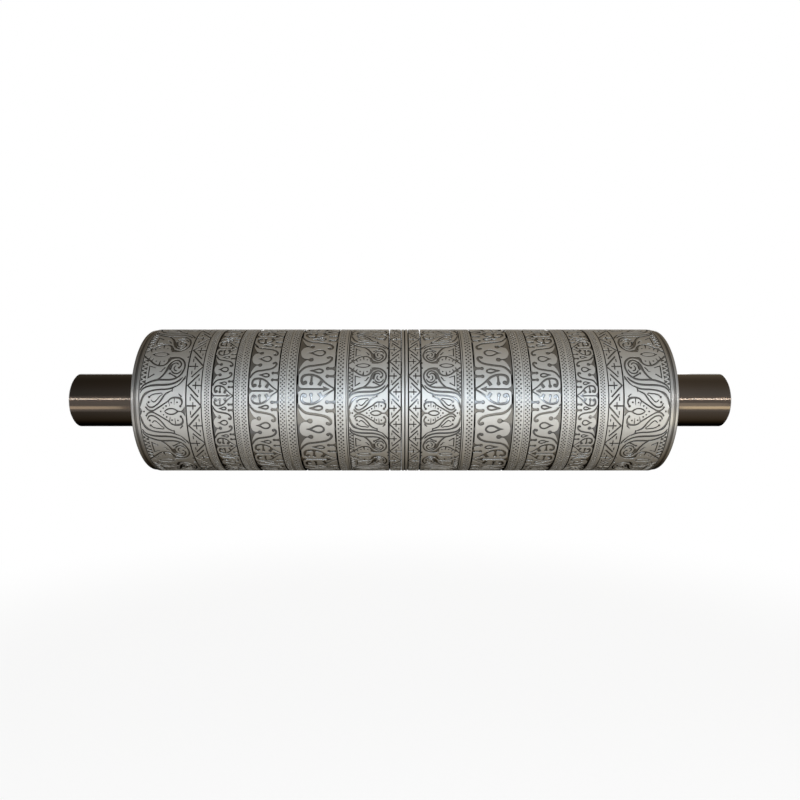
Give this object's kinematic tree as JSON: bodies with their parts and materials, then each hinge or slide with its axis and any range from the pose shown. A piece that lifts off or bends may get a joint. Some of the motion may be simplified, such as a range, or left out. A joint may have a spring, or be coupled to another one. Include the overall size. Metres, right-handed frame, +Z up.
{
  "type": "embossing roller",
  "caption": "Steel embossing roller: a barrel engraved all round with bands of arrows, scrolls and leaves, with a plain round journal at each end for its bearings.",
  "frame": {"origin": "on the roller's axis, midway between the two shaft ends", "axes": "+X along the axis towards the shorter, right-hand journal; +Z up and -Y towards the viewer, as the roller lies in the picture"},
  "size_m": [0.726, 0.16, 0.16],
  "materials": {
    "roll_steel": "turned and etched, satin on the barrel and darker and smoother on the journals"
  },
  "bodies": {
    "root": {"engraved_roll": "roll_steel"}
  },
  "joints": []
}
